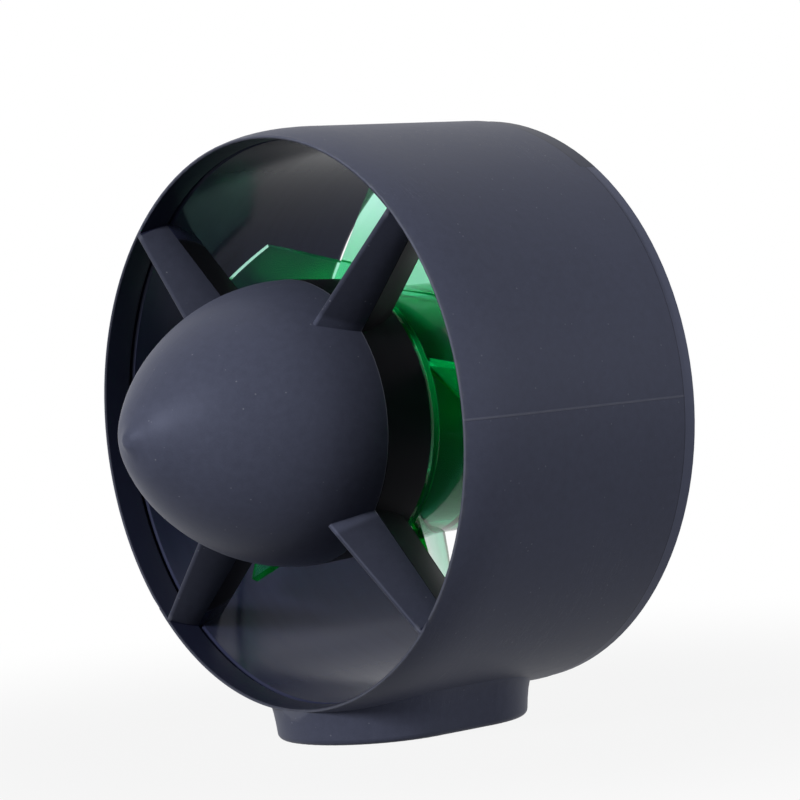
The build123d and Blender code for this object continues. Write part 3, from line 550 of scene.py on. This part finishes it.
def copper_finish():
    """Enamelled winding wire."""
    f = Finish("copper")
    stain = f.noise(300, detail=3)
    return f.surface(
        Base_Color=f.mix(stain, colour_of("copper"), WIRE_BROWN), Metallic=1.0,
        Roughness=0.20 + 0.16 * stain, Coat_Weight=0.6, Normal=f.bump(f.noise(1500), 0.01 * MM, 0.5),
    )


def board_finish():
    """Green solder mask over copper tracks, with tinned pads where the cells meet."""
    f = Finish("board_green")
    track = f.fall(f.cells(330, "DISTANCE_TO_EDGE"), TRACK_EDGE)
    pads = f.fall(f.cells(300), PAD_EDGE) * f.rise(f.noise(130, detail=1), (0.50, 0.56))
    cloud = f.noise(90, detail=3)
    mask = f.mix(track, f.shade(colour_of("mask"), 0.7 + 0.5 * cloud), TRACK_GREEN)
    return f.surface(
        Base_Color=f.mix(pads, mask, PAD_TIN), Metallic=0.9 * pads, Roughness=0.28 + 0.12 * cloud,
        Normal=f.bump(track + pads, 0.03 * MM, 0.8),
    )


def sleeve_finish():
    """Shrink sleeve, and the bare aluminium top of each capacitor."""
    f = Finish("capacitor_sleeve")
    bare = f.rise(f.x, SLEEVE_END)
    cloud = f.noise(200)
    return f.surface(
        Base_Color=f.mix(bare, f.shade(colour_of("sleeve"), 0.8 + 0.4 * cloud), BARE_METAL),
        Metallic=bare, Roughness=0.22 + 0.15 * cloud, Normal=f.bump(f.noise(900), 0.02 * MM, 0.4),
    )


# Pieces


def dress(nodes, material):
    """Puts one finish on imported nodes, in place of the one they came with."""
    for name in nodes:
        mesh = NODES[name].data
        mesh.materials.clear()
        mesh.materials.append(material)


class THRUSTER_OT_shell(bpy.types.Operator):
    """Finish the outer moulding with its parting line, and its rim with wear and a painted highlight"""

    bl_idname = "thruster.shell"
    bl_label = "Outer moulding"

    def execute(self, context):
        dress(["duct_shell"], shell_finish())
        return {"FINISHED"}


class THRUSTER_OT_liner(bpy.types.Operator):
    """Finish the polished liner with its pod and rear band"""

    bl_idname = "thruster.liner"
    bl_label = "Liner and pod"

    def execute(self, context):
        dress(["duct_liner"], liner_finish())
        return {"FINISHED"}


class THRUSTER_OT_propeller(bpy.types.Operator):
    """Finish the propeller and its tail cap"""

    bl_idname = "thruster.propeller"
    bl_label = "Propeller"

    def execute(self, context):
        dress(["propeller", "tail_cap"], blade_finish())
        return {"FINISHED"}


class THRUSTER_OT_gland(bpy.types.Operator):
    """Finish the cable gland's screw and the seals"""

    bl_idname = "thruster.gland"
    bl_label = "Cable gland"

    def execute(self, context):
        dress(["gland_screw"], moulded("gland_black", "nylon", rough=0.42))
        rubber = moulded("seal_rubber", "rubber", rough=0.62, depth=0.03 * MM, gloss=0.3)
        dress(["gland_seal", "shaft_seal"], rubber)
        return {"FINISHED"}


class THRUSTER_OT_motor(bpy.types.Operator):
    """Finish the motor mount, stator, rotor and bearings"""

    bl_idname = "thruster.motor"
    bl_label = "Motor"

    def execute(self, context):
        dress(["motor_mount"], turned_metal("anodised", "aluminium", pitch=0.35 * MM, rough=0.30))
        dress(["stator_core"], lamination_finish())
        dress(["stator_insulators"], moulded("insulator_resin", "resin", rough=0.45))
        dress(["stator_coils", "phase_leads"], copper_finish())
        dress(["rotor_can"], moulded("can_steel", "can", rough=0.34, depth=0.015 * MM, gloss=0.6))
        dress(["rotor_magnets"], plated_metal("magnet_nickel", "nickel", scale=2200, rough=0.20))
        bearings = ["bearing_balls"]
        for end in ("front", "rear"):
            bearings += [f"{end}_bearing_outer_ring", f"{end}_bearing_inner_ring"]
        dress(bearings, plated_metal("bearing_steel", "race", scale=3000, rough=0.10))
        return {"FINISHED"}


class THRUSTER_OT_board(bpy.types.Operator):
    """Finish the driver board and the parts on it"""

    bl_idname = "thruster.board"
    bl_label = "Driver board"

    def execute(self, context):
        dress(["driver_board"], board_finish())
        dress(["board_transistors"], moulded("chip_black", "epoxy", rough=0.45))
        dress(["board_capacitors"], sleeve_finish())
        return {"FINISHED"}


class THRUSTER_OT_fasteners(bpy.types.Operator):
    """Finish the screws, shaft, spacers and inserts"""

    bl_idname = "thruster.fasteners"
    bl_label = "Fasteners and shaft"

    def execute(self, context):
        screws = ["mount_screws", "hub_screws", "prop_screws", "tail_cap_screw", "board_screws"]
        steel = turned_metal("stainless", "steel", pitch=0.25 * MM, rough=0.20)
        dress([*screws, "motor_shaft", "shaft_clip", "shaft_spacer", "gland_washer"], steel)
        brass = turned_metal("brass_insert", "brass", pitch=0.3 * MM, rough=0.22)
        dress(["foot_inserts", "board_spacers"], brass)
        return {"FINISHED"}


# Stage


def camera_axes():
    """The camera's right, up and back directions."""
    level = Vector((math.cos(CAMERA_AZIMUTH), math.sin(CAMERA_AZIMUTH), 0))
    back = level * math.cos(CAMERA_ELEVATION) + Vector((0, 0, math.sin(CAMERA_ELEVATION)))
    right = Vector((-math.sin(CAMERA_AZIMUTH), math.cos(CAMERA_AZIMUTH), 0))
    up = back.cross(right)
    roll = Matrix.Rotation(CAMERA_ROLL, 3, back)
    return roll @ right, roll @ up, back


def add_camera():
    right, up, back = camera_axes()
    lens = bpy.data.cameras.new("camera")
    lens.lens, lens.sensor_width = CAMERA_LENS, SENSOR_WIDTH
    lens.clip_start, lens.clip_end = NEAREST, FARTHEST
    camera = bpy.data.objects.new("camera", lens)
    place = SPIN + right * CAMERA_RIGHT + up * CAMERA_UP + back * CAMERA_DISTANCE
    camera.matrix_world = Matrix.Translation(place) @ Matrix((right, up, back)).transposed().to_4x4()
    bpy.context.scene.collection.objects.link(camera)
    bpy.context.scene.camera = camera


def add_lamp(name, direction, power, side):
    """A square soft lamp that looks at the front rim's centre."""
    light = bpy.data.lights.new(name, "AREA")
    light.shape, light.size, light.energy = "SQUARE", side, power
    lamp = bpy.data.objects.new(name, light)
    right, up, back = camera_axes()
    way = (right * direction[0] + up * direction[1] + back * direction[2]).normalized()
    lamp.location = SPIN + way * sizes().lamp_distance
    lamp.rotation_euler = way.to_track_quat("Z", "Y").to_euler()
    bpy.context.scene.collection.objects.link(lamp)
    return lamp


def add_world():
    """Soft light on the thruster, and white for the rays that see the backdrop."""
    world = bpy.data.worlds.new("backdrop")
    world.use_nodes = True
    sky = Nodes(world.node_tree, "ShaderNodeOutputWorld")
    soft = sky.node("ShaderNodeBackground", values={"Color": SOFT_BLUE, "Strength": SKY_LEVEL})
    white = sky.node("ShaderNodeBackground", values={"Color": WHITE})
    sky.output(sky.blend(sky.backdrop_share(), soft, white))
    bpy.context.scene.world = world


def floor_finish():
    """A pale floor that keeps the shadow and otherwise looks like the backdrop."""
    f = Finish("floor_white")
    dull = f.principled(Base_Color=(*colour_of("floor"), 1), Roughness=0.9, Specular_IOR_Level=0.0)
    white = f.node("ShaderNodeEmission", values={"Color": WHITE, "Strength": 1.0})
    distance = f.math("SQRT", f.x ** 2 + f.y ** 2)
    share = f.rise(distance, FLOOR_FADE, NEAR_WHITE, FAR_WHITE) * f.backdrop_share()
    f.output(f.blend(share, dull, white))
    return f.material


def add_floor():
    bm = bmesh.new()
    bmesh.ops.create_circle(bm, cap_ends=True, segments=FLOOR_SEGMENTS, radius=sizes().floor_radius)
    bmesh.ops.translate(bm, verts=bm.verts, vec=(0, 0, -FLOOR_DROP))
    mesh = bpy.data.meshes.new("floor")
    bm.to_mesh(mesh)
    bm.free()
    mesh.materials.append(floor_finish())
    floor = bpy.data.objects.new("floor", mesh)
    bpy.context.scene.collection.objects.link(floor)
    return floor


class THRUSTER_OT_stage(bpy.types.Operator):
    """Add the floor, the soft lamps, the white surroundings and the camera"""

    bl_idname = "thruster.stage"
    bl_label = "Stage"

    def execute(self, context):
        add_floor()
        for name, (direction, power, share) in LAMPS.items():
            add_lamp(name, direction, power, share * sizes().lamp_size)
        add_world()
        add_camera()
        context.scene.view_settings.view_transform = "Standard"
        return {"FINISHED"}


OPERATORS = [
    THRUSTER_OT_shell,
    THRUSTER_OT_liner,
    THRUSTER_OT_propeller,
    THRUSTER_OT_gland,
    THRUSTER_OT_motor,
    THRUSTER_OT_board,
    THRUSTER_OT_fasteners,
    THRUSTER_OT_stage,
]


class THRUSTER_PT_panel(bpy.types.Panel):
    """Lists the thruster's pieces, sizes and colours"""

    bl_label = "Ducted thruster"
    bl_idname = "THRUSTER_PT_panel"
    bl_space_type = "VIEW_3D"
    bl_region_type = "UI"
    bl_category = "Thruster"

    def draw(self, context):
        for operator in OPERATORS:
            self.layout.operator(operator.bl_idname)
        for group in (context.scene.thruster_sizes, context.scene.thruster_colours):
            box = self.layout.box()
            for name in group.__annotations__:
                box.prop(group, name)


CLASSES = [ThrusterSizes, ThrusterColours, *OPERATORS, THRUSTER_PT_panel]


def register():
    for each in CLASSES:
        bpy.utils.register_class(each)
    bpy.types.Scene.thruster_sizes = PointerProperty(type=ThrusterSizes)
    bpy.types.Scene.thruster_colours = PointerProperty(type=ThrusterColours)


def unregister():
    del bpy.types.Scene.thruster_sizes
    del bpy.types.Scene.thruster_colours
    for each in reversed(CLASSES):
        bpy.utils.unregister_class(each)


def main():
    register()
    for operator in OPERATORS:
        group, name = operator.bl_idname.split(".")
        getattr(getattr(bpy.ops, group), name)()


if __name__ == "__main__":
    main()
